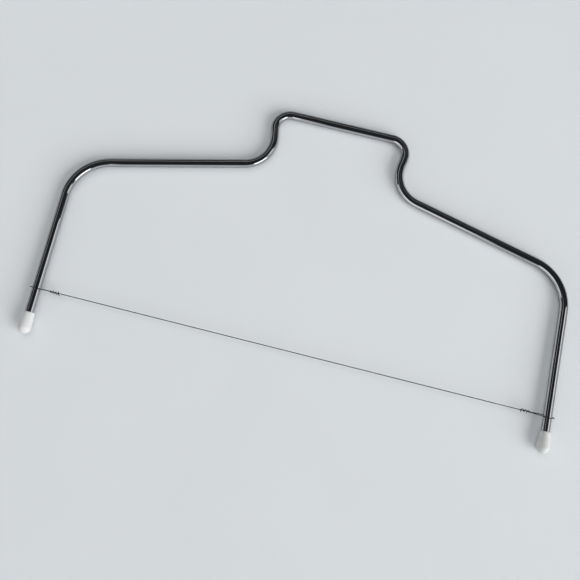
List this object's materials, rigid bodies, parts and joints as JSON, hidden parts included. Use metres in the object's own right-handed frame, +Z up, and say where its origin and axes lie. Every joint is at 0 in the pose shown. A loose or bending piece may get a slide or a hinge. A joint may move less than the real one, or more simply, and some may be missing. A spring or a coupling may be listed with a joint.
{
  "type": "cake leveler",
  "caption": "Bow-shaped cake leveler: one bent bright rod with a raised handle bar, a thin cutting wire looped round both legs that slides to set the cut height, and soft foot caps.",
  "frame": {"origin": "middle of the footprint, on the surface that the leveler lies on", "axes": "+X along the cutting wire and the handle bar, +Y from the feet to the handle, +Z up from the surface"},
  "size_m": [0.3082, 0.1672, 0.0074],
  "materials": {
    "bright_rod": "mirror-bright plating",
    "soft_cap": "smooth milky white plastic",
    "cutting_wire": "drawn stainless wire"
  },
  "bodies": {
    "bow": {"bow_rod": "bright_rod", "left_foot_cap": "soft_cap", "right_foot_cap": "soft_cap"},
    "wire": {"cutting_wire": "cutting_wire", "left_wire_eye": "cutting_wire", "right_wire_eye": "cutting_wire"}
  },
  "joints": [
    {"name": "wire_slide", "type": "slide", "parent": "bow", "child": "wire", "axis": [0, 1, -0.0075], "range_m": [-0.0065, 0.054]}
  ]
}
